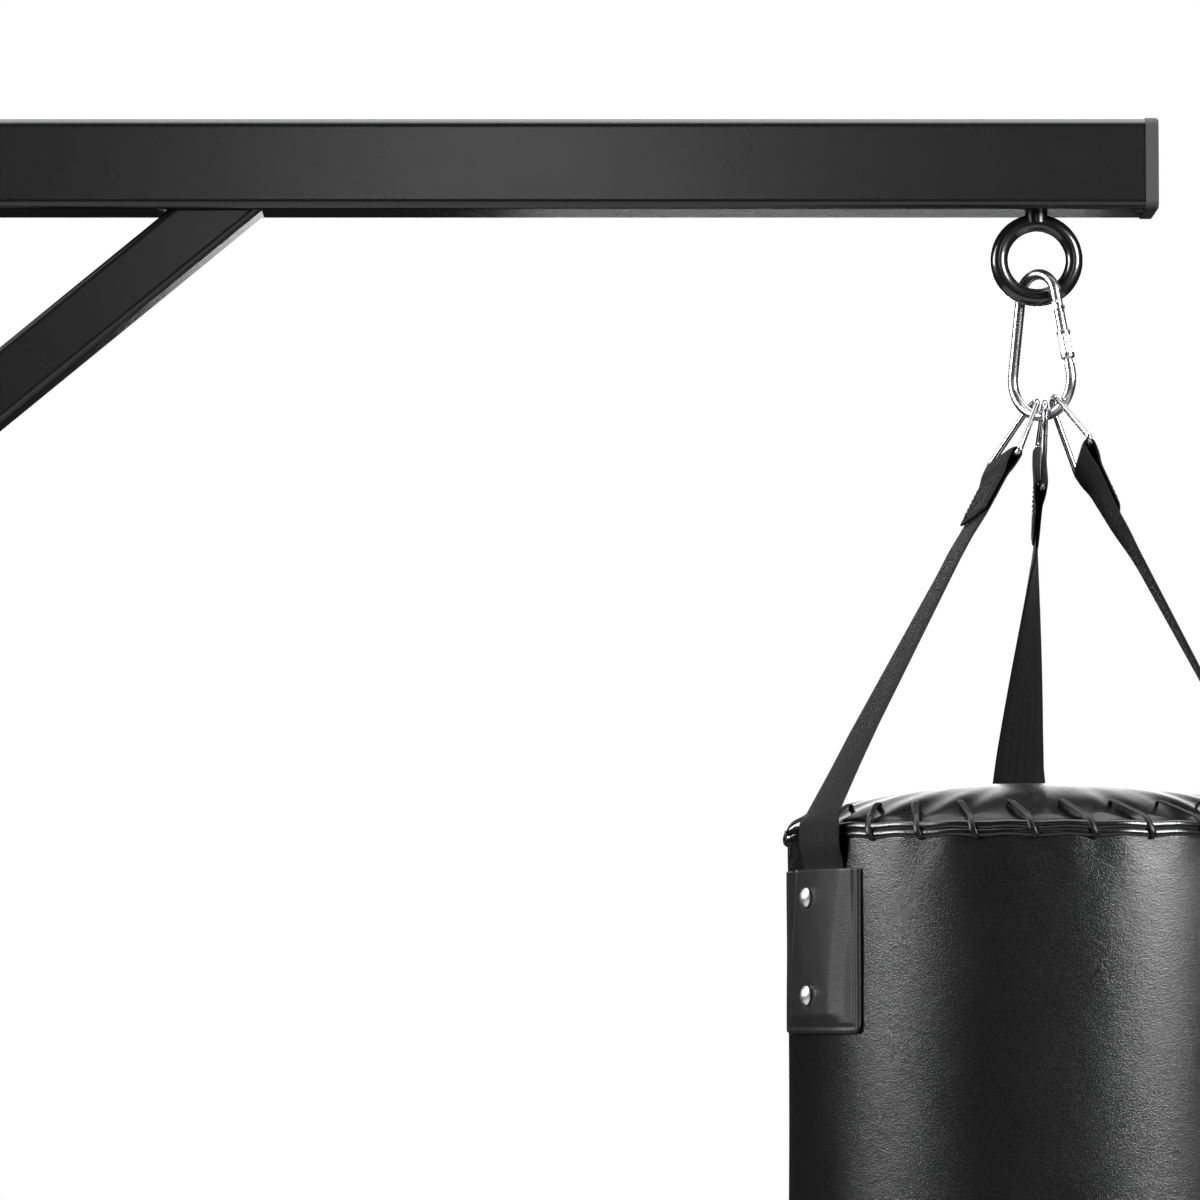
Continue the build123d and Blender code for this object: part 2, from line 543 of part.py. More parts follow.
# (height, inner radius) where the webbing climbs off the wall and over the lacing
wall_lay = ((1732.0, lay + 5.0), (1724.0, lay + 4.8), (1716.0, lay + 1.8), (1709.5, lay), (1612.0, lay))
rivets = []
burrs = []
shell_cuts = []
liner_cuts = []
half_patch = degrees(PATCH_WIDTH / 2 / BAG_RADIUS)
half_strap = degrees(WEBBING_WIDTH / 2 / BAG_RADIUS)
steps = 12
for name, azimuth, along, bar_angle, twist in STRAPS:
    arc = along / BOTTOM_ARC
    seat = hook_low + hook_across * (BOTTOM_ARC * sin(arc)) + UP * (BOTTOM_ARC * (1 - cos(arc)))
    out = radial(azimuth)
    rim = AXIS + out * (rim_radius + WEBBING / 2) + UP * rim_z
    fall = (rim - seat).normalized()
    bar_dir = across(bar_angle, fall)
    plane = Plane(origin=seat, x_dir=bar_dir, z_dir=bar_dir.cross(fall * -1))
    half_bar = RING_BAR_WIDTH / 2
    corners = ((0, RING_APEX_SHARP), (half_bar, -RING_BAR_DROP), (-half_bar, -RING_BAR_DROP))
    loop = FilletPolyline(*corners, radius=(RING_APEX_RADIUS, RING_CORNER, RING_CORNER), close=True)
    section = Plane(origin=(0, -RING_BAR_DROP, 0), z_dir=(1, 0, 0)) * Circle(RING_ROD / 2)
    save(plane * sweep(section, path=loop), f"triangle_ring_{name}")

    # webbing: a sewn loop round the ring's bar, a twisting free length, then flat on the wall
    bar = seat + fall * RING_BAR_DROP
    free = (rim - bar).length
    wall_dir = tangent(azimuth)
    if across(twist[-1][1], fall).dot(wall_dir) < 0:
        wall_dir = wall_dir * -1
    face = 1 if wall_dir.cross(UP * -1).dot(out) > 0 else -1
    sections = []
    for i in range(steps):
        fraction = max(i / steps, (LOOP_LENGTH - 4) / free)
        if i > 0 and i / steps < (LOOP_LENGTH + 6) / free:
            continue
        wide = across(width_at(fraction, twist), fall) * face
        sag = wall_sag * max(0.0, fraction - 0.75) * 4
        centre = bar + fall * (free * fraction)
        sections.append(strip_section(centre, wide, wide.cross(fall), WEBBING, sag))
    bend = (fall - UP).normalized()
    wide = across(degrees(atan2(wall_dir.Y, wall_dir.X)), bend) * face
    sections.append(strip_section(rim, wide, wide.cross(bend), WEBBING, wall_sag))
    for z, radius in wall_lay:
        centre = AXIS + out * (radius + chord_gap + WEBBING / 2) + UP * z
        sections.append(strip_section(centre, wall_dir * face, out, WEBBING, wall_sag))
    strap = Solid.make_loft(sections, ruled=True)
    doubled = 2 * WEBBING + LOOP_GAP
    ends_at = (0.0, LOOP_LENGTH / 2, LOOP_LENGTH)
    pair = []
    for distance in ends_at:
        wide = across(width_at(distance / free, twist), fall) * face
        centre = bar + fall * distance
        pair.append(strip_section(centre, wide, wide.cross(fall), doubled, 0))
    strap += Solid.make_loft(pair, ruled=True)
    eye_width = WEBBING_WIDTH - 0.8
    eye = Plane(origin=bar - bar_dir * (eye_width / 2), z_dir=bar_dir)
    bar_gap = RING_ROD / 2 + LOOP_GAP
    strap += eye * extrude(Circle(bar_gap + WEBBING), eye_width)
    strap -= eye * Pos(0, 0, -5) * extrude(Circle(bar_gap), eye_width + 10)

    # leather patch over the webbing, held by two rivets
    over = lay + chord_gap + WEBBING + 0.1
    low = curved_block(lay, LEATHER, half_patch, azimuth, PATCH_BOTTOM, PATCH_TOP)
    low -= curved_block(lay - 1, LEATHER + 2, half_strap + 0.3, azimuth, 1611.0, PATCH_TOP + 1)
    raised = curved_block(over, LEATHER, half_strap + 1.3, azimuth, PATCH_BOTTOM + 1, PATCH_TOP)
    patch = low + raised
    axis_dir = Vector(out.X, out.Y, 0)
    for z in RIVET_Z:
        spot = Plane(origin=AXIS + UP * z, z_dir=axis_dir)
        inside = BAG_RADIUS - LEATHER
        outside = over + LEATHER
        head = Pos(0, 0, outside) * extrude(Circle(RIVET_HEAD / 2), 0.9)
        ball = (RIVET_HEAD**2 / 4 + RIVET_DOME**2) / (2 * RIVET_DOME)
        cap = Pos(0, 0, outside + 0.9 + RIVET_DOME - ball) * Sphere(ball)
        cap &= Pos(0, 0, outside + 0.9) * extrude(Circle(RIVET_HEAD / 2), RIVET_DOME)
        tail = Pos(0, 0, inside - BURR_THICK - 1.0) * extrude(Circle(RIVET_SHANK / 2), outside - inside + BURR_THICK + 1.0)
        rivets.append(spot * (head + cap + tail))
        washer = Pos(0, 0, inside - BURR_THICK) * extrude(Circle(BURR / 2), BURR_THICK)
        seat_gap = 0.45
        burrs.append(spot * Pos(0, 0, -seat_gap) * (washer - Pos(0, 0, inside - 5) * extrude(Circle(RIVET_SHANK / 2), 10)))
        hole = spot * Pos(0, 0, inside - 10) * extrude(Circle(RIVET_SHANK / 2 + 0.05), 30)
        strap -= hole
        patch -= hole
        # the flat head sits in a shallow seat pressed into the curved patch
        patch -= spot * Pos(0, 0, outside) * extrude(Circle(RIVET_HEAD / 2 + 0.3), 5)
        shell_cuts.append(hole)
        liner_cuts.append(spot * Pos(0, 0, inside - 5) * extrude(Circle(BURR / 2 + 1), 10))
    save(strap, f"strap_{name}")
    save(patch, f"strap_patch_{name}")
save(group(rivets), "strap_rivets")
save(group(burrs), "rivet_burrs")

# ================= bag: leather, lining, filling, lacing =================
inner_radius = BAG_RADIUS - LEATHER
wall = Circle(BAG_RADIUS) - Circle(inner_radius)
shell = Pos(BAG_X, 0, BAG_BOTTOM) * extrude(wall, HEM_Z - BAG_BOTTOM)
for cut in shell_cuts:
    shell -= cut
bottom = Pos(BAG_X, 0, BAG_BOTTOM - LEATHER) * extrude(Circle(BAG_RADIUS), LEATHER)
save(fillet(bottom.edges().sort_by(Axis.Z)[0], 2.0), "bag_bottom")

ball = (BAG_RADIUS**2 + (DOME_RISE - LEATHER) ** 2) / (2 * (DOME_RISE - LEATHER))


def dome_height(radius):
    """Height of the top's outer face above the hem."""
    return DOME_RISE - ball + sqrt(ball**2 - radius**2)


seam_radius = inner_radius - 4
edge_radius = BAG_RADIUS - TOP_EDGE_EASE
outline = Wire([
    Line((0, DOME_RISE - LEATHER), (0, DOME_RISE)),
    ThreePointArc((0, DOME_RISE), (90, dome_height(90)), (edge_radius, dome_height(edge_radius))),
    Line((edge_radius, dome_height(edge_radius)), (BAG_RADIUS, LEATHER - TOP_EDGE_EASE)),
    Line((BAG_RADIUS, LEATHER - TOP_EDGE_EASE), (BAG_RADIUS, 0)),
    Line((BAG_RADIUS, 0), (seam_radius, 0)),
    Line((seam_radius, 0), (seam_radius, dome_height(seam_radius) - LEATHER)),
    ThreePointArc(
        (seam_radius, dome_height(seam_radius) - LEATHER), (85, dome_height(85) - LEATHER), (0, DOME_RISE - LEATHER)
    ),
])
top = Pos(BAG_X, 0, HEM_Z) * revolve(Plane.XZ * make_face(outline), Axis.Z)
pitch = 360 / STITCHES
lace_r = LACE_DIAMETER / 2
upper_z = HEM_Z + dome_height(LACE_UPPER_RADIUS)
lift = lace_r + 0.7


def spot(radius, azimuth, z):
    return radial(azimuth) * radius + UP * z


for i in range(STITCHES):
    turn = i * pitch
    tilt = degrees(asin(LACE_UPPER_RADIUS / ball))
    place = Plane(origin=AXIS + spot(LACE_UPPER_RADIUS, turn, upper_z), z_dir=radial(turn) * sin(radians(tilt)) + UP)
    top -= place * Cylinder(LACE_HOLE / 2, 20)
    place = Plane(origin=AXIS + spot(BAG_RADIUS, turn + LACE_SLANT, LACE_LOWER_Z), z_dir=radial(turn + LACE_SLANT))
    shell -= place * Cylinder(LACE_HOLE / 2, 20)
save(top, "bag_top")
save(shell, "bag_shell")

# one turn of the lace: under the top, up through it, over the hem, in through the wall
middle = (LACE_SLANT - pitch) / 2
inside_low = (inner_radius - 7, 1722.5)
start_point = spot(150, middle, 1731.0)
end_point = spot(150, middle + pitch, 1731.0)
lace_points = [
    start_point,
    spot(LACE_UPPER_RADIUS - 1.5, -0.3, upper_z - 6),
    spot(LACE_UPPER_RADIUS, 0, upper_z - 1.5),
    spot(LACE_UPPER_RADIUS + 4, 0.4, HEM_Z + dome_height(LACE_UPPER_RADIUS + 4) + lift + 0.6),
    spot(152, 3.0, HEM_Z + dome_height(152) + lift + 0.3),
    spot(BAG_RADIUS - 1.5, 5.6, HEM_Z + LEATHER + lift + 0.7),
    spot(BAG_RADIUS + lift + 0.6, 6.5, HEM_Z - 1.5),
    spot(BAG_RADIUS - 1.5, LACE_SLANT, LACE_LOWER_Z),
    spot(inside_low[0], LACE_SLANT + 0.2, inside_low[1] + 4),
    end_point,
]
run = Vector(*(spot(150, middle + 5, 1740) - spot(156, middle - 5, 1722)))
run_end = run.rotate(Axis.Z, pitch)
lace_path = Spline(*lace_points, tangents=(run, run_end))
stitch = sweep(Plane(origin=lace_path @ 0, z_dir=lace_path % 0) * Circle(lace_r), path=lace_path)
lace = stitch
for i in range(1, STITCHES):
    lace += Rot(0, 0, i * pitch) * stitch
save(Pos(BAG_X, 0, 0) * lace, "bag_lace")

liner = Circle(inner_radius - 0.3) - Circle(inner_radius - LINER)
liner = Pos(BAG_X, 0, BAG_BOTTOM) * extrude(liner, LINER_TOP - BAG_BOTTOM)
for cut in liner_cuts:
    liner -= cut
save(liner, "bag_foam_liner")
filling = Pos(BAG_X, 0, BAG_BOTTOM) * extrude(Circle(inner_radius - LINER), LINER_TOP - BAG_BOTTOM)
save(filling, "bag_filling")
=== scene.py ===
import json
from math import atan2, cos, degrees, hypot, pi, radians, sin, sqrt

import bpy
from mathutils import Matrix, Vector, noise


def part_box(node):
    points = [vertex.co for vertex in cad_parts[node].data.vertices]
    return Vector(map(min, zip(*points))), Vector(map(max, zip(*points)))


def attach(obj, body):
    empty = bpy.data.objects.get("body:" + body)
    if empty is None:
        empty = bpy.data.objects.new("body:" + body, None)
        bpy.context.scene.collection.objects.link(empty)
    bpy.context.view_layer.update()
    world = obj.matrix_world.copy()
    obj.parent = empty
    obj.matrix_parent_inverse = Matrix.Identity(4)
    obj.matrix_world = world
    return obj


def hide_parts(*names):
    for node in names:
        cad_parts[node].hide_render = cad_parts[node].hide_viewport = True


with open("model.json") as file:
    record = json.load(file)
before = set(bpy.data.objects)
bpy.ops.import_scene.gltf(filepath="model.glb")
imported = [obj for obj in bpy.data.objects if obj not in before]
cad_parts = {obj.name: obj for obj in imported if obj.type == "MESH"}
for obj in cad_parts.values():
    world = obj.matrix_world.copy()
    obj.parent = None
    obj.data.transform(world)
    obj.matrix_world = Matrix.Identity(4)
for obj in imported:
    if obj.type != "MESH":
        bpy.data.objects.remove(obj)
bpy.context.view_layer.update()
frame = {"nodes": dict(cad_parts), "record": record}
MM = 0.001

# ---------------- positions from the frame ----------------
joint_at = {j["name"]: j for j in frame["record"]["behaviour"]["joints"]}
RING = Vector(joint_at["carabiner_swing"]["pos_m"])
bow_centre = Vector(joint_at["bag_swing"]["pos_m"])
swing_axis = Vector(joint_at["bag_swing"]["axis"])
shell_low, shell_high = [Vector(c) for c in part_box("bag_shell")]
AXIS = Vector(((shell_low.x + shell_high.x) / 2, 0, 0))
R = (shell_high.x - shell_low.x) / 2
HEM = shell_high.z
FLOOR_END = shell_low.z
dome_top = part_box("bag_top")[1][2]
UP = Vector((0, 0, 1))
STITCHES = 28
PITCH = 2 * pi / STITCHES
SLANT = radians(7.2)  # how far a stitch runs on round the bag between its hole in the cover and the hem
BOTTOM_ARC = 24.7 * MM  # radius of the hook's lower bow, on which the triangle rings hang
BASE = Vector((AXIS.x, 0, bow_centre.z - BOTTOM_ARC))
HOOK_DIR = Vector((swing_axis.y, -swing_axis.x, 0)).normalized()
WIDTH = 50 * MM
WEB = 2.5 * MM
RIM_OUT = 5.8 * MM  # how far the webbing stands off the wall where it bends over the hem
BAR_DROP = 40 * MM
BAR_GAP = 2.3 * MM
LOOP = 48 * MM
PATCH_TOP = 1.709
PATCH_BOTTOM = 1.602
PATCH_HALF = 53 * MM / R
SEAM_INSET = 4.2 * MM
RIVET_HEIGHTS = (1.627, 1.691)
# name, azimuth on the wall, slant up to the rim, place along the bow in millimetres, and the twist: the
# direction of the webbing's width in degrees at shares of the way from the ring's bar down to the rim
STRAPS = (
    ("left", -65.5, 5.0, -12.5, ((0.0, 102.0), (0.3, 99.5), (0.85, 109.0), (1.0, 114.0))),
    ("rear", 183.4, 0.0, 0.5, ((0.0, 90.0), (0.2, 87.0), (0.85, 46.0), (1.0, 20.0))),
    ("right", 54.0, 0.0, 13.0, ((0.0, 103.0), (0.28, 91.0), (0.64, 87.0), (1.0, 58.0))),
)


def radial(a):
    return Vector((sin(a), -cos(a), 0))


def polar(r, a, z):
    """A point at radius r and azimuth a round the bag's axis."""
    return AXIS + radial(a) * r + UP * z


def circle(r, z, count):
    """Points round the bag's axis at one radius and height."""
    return [polar(r, k * 2 * pi / count, z) for k in range(count)]


def smooth(x, a=0.0, b=1.0):
    """0 below a, 1 above b and a soft step between."""
    t = min(1.0, max(0.0, (x - a) / (b - a)))
    return t * t * (3 - 2 * t)


# ---------------- materials ----------------
class Shader:
    """A material being built: a Principled surface and short ways to add nodes."""

    def __init__(self, name, color, rough, metal=0.0, coords="Object"):
        self.mat = bpy.data.materials.new(name)
        self.mat.use_nodes = True
        self.tree = self.mat.node_tree
        self.bsdf = self.tree.nodes["Principled BSDF"]
        self.bsdf.inputs["Base Color"].default_value = (*color, 1)
        self.bsdf.inputs["Roughness"].default_value = rough
        self.bsdf.inputs["Metallic"].default_value = metal
        self.color = color
        self.rough = rough
        if coords == "UV":
            self.where = self.node("ShaderNodeUVMap").outputs["UV"]
        else:
            self.where = self.node("ShaderNodeTexCoord").outputs[coords]
        self.height = None

    def node(self, kind, **values):
        n = self.tree.nodes.new(kind)
        for key, value in values.items():
            setattr(n, key, value)
        return n

    def link(self, a, b):
        self.tree.links.new(a, b)

    def noise(self, scale, detail=4.0, stretch=None, rough=0.55):
        n = self.node("ShaderNodeTexNoise")
        n.inputs["Scale"].default_value = scale
        n.inputs["Detail"].default_value = detail
        n.inputs["Roughness"].default_value = rough
        self.link(self.placed(stretch), n.inputs["Vector"])
        return n.outputs["Fac"]

    def cells(self, scale, stretch=None, feature="F1", spread=1.0):
        n = self.node("ShaderNodeTexVoronoi", feature=feature)
        n.inputs["Scale"].default_value = scale
        n.inputs["Randomness"].default_value = spread
        self.link(self.placed(stretch), n.inputs["Vector"])
        return n.outputs["Distance"]

    def placed(self, stretch):
        if stretch is None:
            return self.where
        m = self.node("ShaderNodeMapping")
        m.inputs["Scale"].default_value = stretch
        self.link(self.where, m.inputs["Vector"])
        return m.outputs["Vector"]

    def span(self, value, low, high, a=0.0, b=1.0):
        n = self.node("ShaderNodeMapRange")
        n.inputs["From Min"].default_value = a
        n.inputs["From Max"].default_value = b
        n.inputs["To Min"].default_value = low
        n.inputs["To Max"].default_value = high
        self.link(value, n.inputs["Value"])
        return n.outputs["Result"]

    def math(self, op, a, b=None):
        n = self.node("ShaderNodeMath", operation=op)
        for socket, value in zip(n.inputs, (a, b)):
            if value is None:
                continue
            if isinstance(value, (int, float)):
                socket.default_value = value
            else:
                self.link(value, socket)
        return n.outputs[0]

    def bump(self, value, depth):
        """Adds a bump of this depth in metres, on top of those before it."""
        n = self.node("ShaderNodeBump")
        n.inputs["Strength"].default_value = 1.0
        n.inputs["Distance"].default_value = depth
        self.link(value, n.inputs["Height"])
        if self.height is not None:
            self.link(self.height, n.inputs["Normal"])
        self.height = n.outputs["Normal"]
        self.link(self.height, self.bsdf.inputs["Normal"])

    def roughness(self, value, spread):
        self.link(self.span(value, self.rough - spread, self.rough + spread), self.bsdf.inputs["Roughness"])

    def tint(self, value, other):
        n = self.node("ShaderNodeMix", data_type="RGBA")
        n.inputs[6].default_value = (*self.color, 1)
        n.inputs[7].default_value = (*other, 1)
        self.link(value, n.inputs[0])
        self.link(n.outputs[2], self.bsdf.inputs["Base Color"])

    def coat(self, weight, rough):
        self.bsdf.inputs["Coat Weight"].default_value = weight
        self.bsdf.inputs["Coat Roughness"].default_value = rough


def set_specular(material, level):
    material.node_tree.nodes["Principled BSDF"].inputs["Specular IOR Level"].default_value = level


def paint(name, rough, coat, coat_rough):
    s = Shader(name, (0.0035, 0.0035, 0.004), rough)
    s.coat(coat, coat_rough)
    s.roughness(s.noise(14, 3), 0.035)
    s.bump(s.noise(420, 2), 0.00002)
    s.bump(s.noise(60, 3), 0.00002)
    s.tint(s.span(s.noise(5, 5), 0.0, 0.5, 0.45, 0.8), (0.005, 0.005, 0.0055))
    return s.mat


def leather(name, color=(0.004, 0.004, 0.0044), rough=0.29, grain=950.0, depth=0.00010):
    s = Shader(name, color, rough)
    pores = s.cells(grain)
    s.bump(s.span(pores, 1.0, 0.0, 0.0, 0.6), depth)
    s.bump(s.noise(260, 5), depth * 0.8)
    s.bump(s.noise(38, 4, (1, 1, 0.55)), depth * 2.6)
    s.bump(s.noise(95, 4, (1, 1, 1.8)), depth * 1.3)
    s.roughness(s.noise(26, 4, (1, 1, 0.6), 0.5), 0.06)
    s.tint(s.span(s.noise(9, 6), 0.0, 0.7, 0.4, 0.75), tuple(c * 1.7 for c in color))
    s.bsdf.inputs["Specular IOR Level"].default_value = 0.55
    return s.mat


def webbing():
    s = Shader("black_webbing", (0.0035, 0.0035, 0.004), 0.7, coords="UV")
    parts = s.node("ShaderNodeSeparateXYZ")
    s.link(s.where, parts.inputs[0])
    across, along = parts.outputs[0], parts.outputs[1]
    rib = s.math("SINE", s.math("MULTIPLY", across, 2 * pi / 0.0021))
    lean = s.math("PINGPONG", across, 0.0042)
    leaning = s.math("ADD", along, s.math("MULTIPLY", lean, 0.8))
    weft = s.math("SINE", s.math("MULTIPLY", leaning, 2 * pi / 0.0015))
    weave_and_ridge_highlight = s.math("MULTIPLY", s.math("ADD", rib, 1.1), s.math("ADD", weft, 1.3))
    s.bump(s.span(weave_and_ridge_highlight, 0.0, 1.0, 0.0, 4.8), 0.00030)
    s.bump(s.noise(1500, 3), 0.00006)
    s.roughness(s.noise(160, 4), 0.08)
    # painted highlight: the colour is lighter on the raised ridges of the weave, standing in for the light
    # they catch; the same pattern also drives the bump above
    s.tint(s.span(weave_and_ridge_highlight, 0.0, 0.8, 1.0, 4.6), (0.010, 0.010, 0.0105))
    s.bsdf.inputs["Sheen Weight"].default_value = 0.02
    s.bsdf.inputs["Sheen Roughness"].default_value = 0.4
    s.bsdf.inputs["Specular IOR Level"].default_value = 0.2
    return s.mat


def metal(name, color, rough, brushed=(1, 1, 1), spread=0.05, depth=0.00001):
    s = Shader(name, color, rough, 1.0)
    s.roughness(s.noise(500, 3, brushed), spread)
    s.bump(s.noise(900, 3, brushed), depth)
    s.tint(s.span(s.noise(35, 5), 0.0, 0.6, 0.45, 0.8), tuple(c * 0.8 for c in color))
    return s.mat


def plastic(name, color, rough, depth=0.00006):
    s = Shader(name, color, rough)
    s.bump(s.noise(1400, 3), depth)
    s.roughness(s.noise(40, 5), 0.06)
    s.tint(s.span(s.noise(18, 5), 0.0, 0.5, 0.45, 0.8), tuple(c * 1.4 for c in color))
    return s.mat


def thread(name, color):
    s = Shader(name, color, 0.6)
    s.bump(s.noise(2600, 2), 0.00006)
    s.tint(s.noise(700, 3), tuple(c * 1.6 for c in color))
    return s.mat


PAINT = paint("satin_black_paint", 0.27, 0.2, 0.15)
RING_PAINT = paint("gloss_black_paint", 0.28, 0.8, 0.05)
LEATHER = leather("bag_leather")
TOP_LEATHER = leather("top_leather", rough=0.27, depth=0.00003)
set_specular(TOP_LEATHER, 0.28)
HEM_LEATHER = leather("hem_leather", rough=0.2, depth=0.00004)
PATCH_LEATHER = leather("patch_leather", (0.008, 0.008, 0.0085), 0.46, 1000.0, 0.00006)
set_specular(PATCH_LEATHER, 0.4)
LACE = leather("lace_leather", (0.003, 0.003, 0.0035), 0.36, 1400.0, 0.00004)
set_specular(LACE, 0.3)
WEBBING = webbing()
HOOK_STEEL = metal("hook_steel", (0.6, 0.6, 0.61), 0.27)
SLEEVE_STEEL = metal("sleeve_steel", (0.6, 0.6, 0.61), 0.26)
RING_STEEL = metal("ring_steel", (0.6, 0.6, 0.61), 0.2)
RIVET_STEEL = metal("rivet_steel", (0.82, 0.82, 0.82), 0.36)
ZINC = metal("zinc_steel", (0.55, 0.56, 0.57), 0.32, spread=0.08)
PEG_STEEL = metal("peg_chrome", (0.7, 0.7, 0.71), 0.14)
CAP = plastic("cap_plastic", (0.026, 0.026, 0.0265), 0.6)
RUBBER = plastic("foot_rubber", (0.02, 0.02, 0.02), 0.7, 0.00012)
THREAD = thread("black_thread", (0.014, 0.014, 0.015))

SLOT_LOOK = {
    "black_paint": PAINT, "bare_steel": PEG_STEEL, "zinc": ZINC,
    "cap_plastic": CAP, "foot_rubber": RUBBER,
    "hook_steel": HOOK_STEEL, "sleeve_steel": SLEEVE_STEEL,
    "ring_steel": RING_STEEL, "rivet_steel": RIVET_STEEL,
}
slot_of = {s["node"]: s["material_slot"] for s in frame["record"]["subparts"]}
for node, obj in frame["nodes"].items():
    look = SLOT_LOOK.get(slot_of[node])
    if look:
        obj.data.materials.clear()
        obj.data.materials.append(RING_PAINT if node == "hanging_ring" else look)


# ---------------- mesh helpers ----------------
def add_object(name, verts, faces, material, uvs=None, smooth_faces=True):
    mesh = bpy.data.meshes.new(name)
    mesh.from_pydata([tuple(v) for v in verts], [], faces)
    if uvs:
        layer = mesh.uv_layers.new(name="UVMap")
        for loop in mesh.loops:
            layer.data[loop.index].uv = uvs[loop.vertex_index]
    mesh.polygons.foreach_set("use_smooth", [smooth_faces] * len(mesh.polygons))
    mesh.materials.append(material)
    mesh.update()
    o = bpy.data.objects.new(name, mesh)
    bpy.context.scene.collection.objects.link(o)
    return o


def loft(name, rings, material, closed=False, caps=True, uvs=None):
    """A skin over rings of points (each ring closed round)."""
    n = len(rings[0])
    verts = [v for ring in rings for v in ring]
    faces = []
    rows = len(rings)
    for i in range(rows if closed else rows - 1):
        a = i * n
        b = ((i + 1) % rows) * n
        for k in range(n):
            m = (k + 1) % n
            faces.append((a + k, a + m, b + m, b + k))
    if caps and not closed:
        faces.append(tuple(range(n))[::-1])
        faces.append(tuple(range((rows - 1) * n, rows * n)))
    return add_object(name, verts, faces, material, uvs)


def flat_ring(centre, wide, thick, half_w, half_t, bow=0.0, steps=8):
    """Points round a webbing section: rounded edges, bowed in the middle."""
    pts = []
    for i in range(steps + 1):
        s = -1 + 2 * i / steps
        drop = -bow * s * s
        inner = abs(s) == 1
        w = s * half_w
        t = half_t * (0.55 if inner else 1.0)
        pts.append(centre + wide * w + thick * (t + drop))
    for i in range(steps + 1):
        s = 1 - 2 * i / steps
        drop = -bow * s * s
        t = half_t * (0.55 if abs(s) == 1 else 1.0)
        pts.append(centre + wide * (s * half_w) + thick * (-t + drop))
    return pts


def tube_mesh(name, paths, radius, material, sides=6):
    """Round threads along several open paths, as one mesh."""
    verts = []
    faces = []
    for path in paths:
        base = len(verts)
        count = len(path)
        for i, p in enumerate(path):
            ahead = (path[min(i + 1, count - 1)] - path[max(i - 1, 0)]).normalized()
            side = ahead.cross(UP)
            if side.length < 0.2:
                side = ahead.cross(Vector((1, 0, 0)))
            side.normalize()
            other = side.cross(ahead)
            r = radius * (0.45 if i in (0, count - 1) else 1.0)
            for k in range(sides):
                a = 2 * pi * k / sides
                verts.append(p + side * (r * cos(a)) + other * (r * sin(a)))
        for i in range(count - 1):
            row = base + i * sides
            above = row + sides
            for k in range(sides):
                m = (k + 1) % sides
                faces.append((row + k, row + m, above + m, above + k))
        faces.append(tuple(base + k for k in range(sides))[::-1])
        faces.append(tuple(base + (count - 1) * sides + k for k in range(sides)))
    return add_object(name, verts, faces, material)


def stitch_run(points, normals, length=3.2 * MM, gap=1.2 * MM, lift=0.15 * MM):
    """Short threads along a line of points lying on a surface."""
    out = []
    travelled = 0.0
    current = []
    for i in range(len(points) - 1):
        step = (points[i + 1] - points[i]).length
        phase = travelled % (length + gap)
        if phase < length:
            current.append(points[i] + normals[i] * (lift * (1.0 + 1.2 * sin(pi * phase / length))))
        elif current:
            if len(current) > 2:
                out.append(current)
            current = []
        travelled += step
    return out


# ---------------- bag wall ----------------
def wall_bulge(a, z):
    """How far the filled wall stands off its true radius, in metres."""
    p = radial(a)
    t = (z - FLOOR_END) / (HEM - FLOOR_END)
    soft = noise.noise(Vector((p.x * 1.3 + 4, p.y * 1.3, t * 4.0))) * 0.9
    soft += noise.noise(Vector((p.x * 3.1 + 9, p.y * 3.1, t * 11.0))) * 0.35
    return soft * MM * smooth(t, 0.0, 0.06) * (1 - smooth(t, 0.94, 0.995))


def pucker(a):
    """1 midway between two stitches at the hem, 0 where a stitch pulls it in."""
    return 0.5 - 0.5 * cos((a - SLANT) / PITCH * 2 * pi)


def wall_radius(a, z):
    near = smooth(z, HEM - 40 * MM, HEM - 10 * MM)
    pull = (pucker(a) - 0.6) * 0.9 * MM * near
    return R + wall_bulge(a, z) + pull


COLUMNS = STITCHES * 8
heights = []
z = FLOOR_END + 2 * MM
while z < HEM - 60 * MM:
    heights.append(z)
    z += 14 * MM
while z < HEM - 7 * MM:
    heights.append(z)
    z += 4 * MM
heights.append(HEM - 6 * MM)


def wall_mesh():
    rings = []
    bottom = [(0.25, -1.0), (0.6, -1.0), (0.9, -0.8), (0.985, 0.2)]
    for share, drop in bottom:
        rings.append(circle(R * share, FLOOR_END + drop * MM, COLUMNS))
    for z in heights:
        angles = [k * 2 * pi / COLUMNS for k in range(COLUMNS)]
        rings.append([polar(wall_radius(a, z), a, z) for a in angles])
    for share, rise in ((0.97, -3.0), (0.9, -3.0)):
        rings.append(circle(R * share, HEM + rise * MM, COLUMNS))
    return loft("bag_wall", rings, LEATHER)


wall = wall_mesh()


PRESS_FRAMES = 20
PRESS_LIMIT = 3.0 * MM


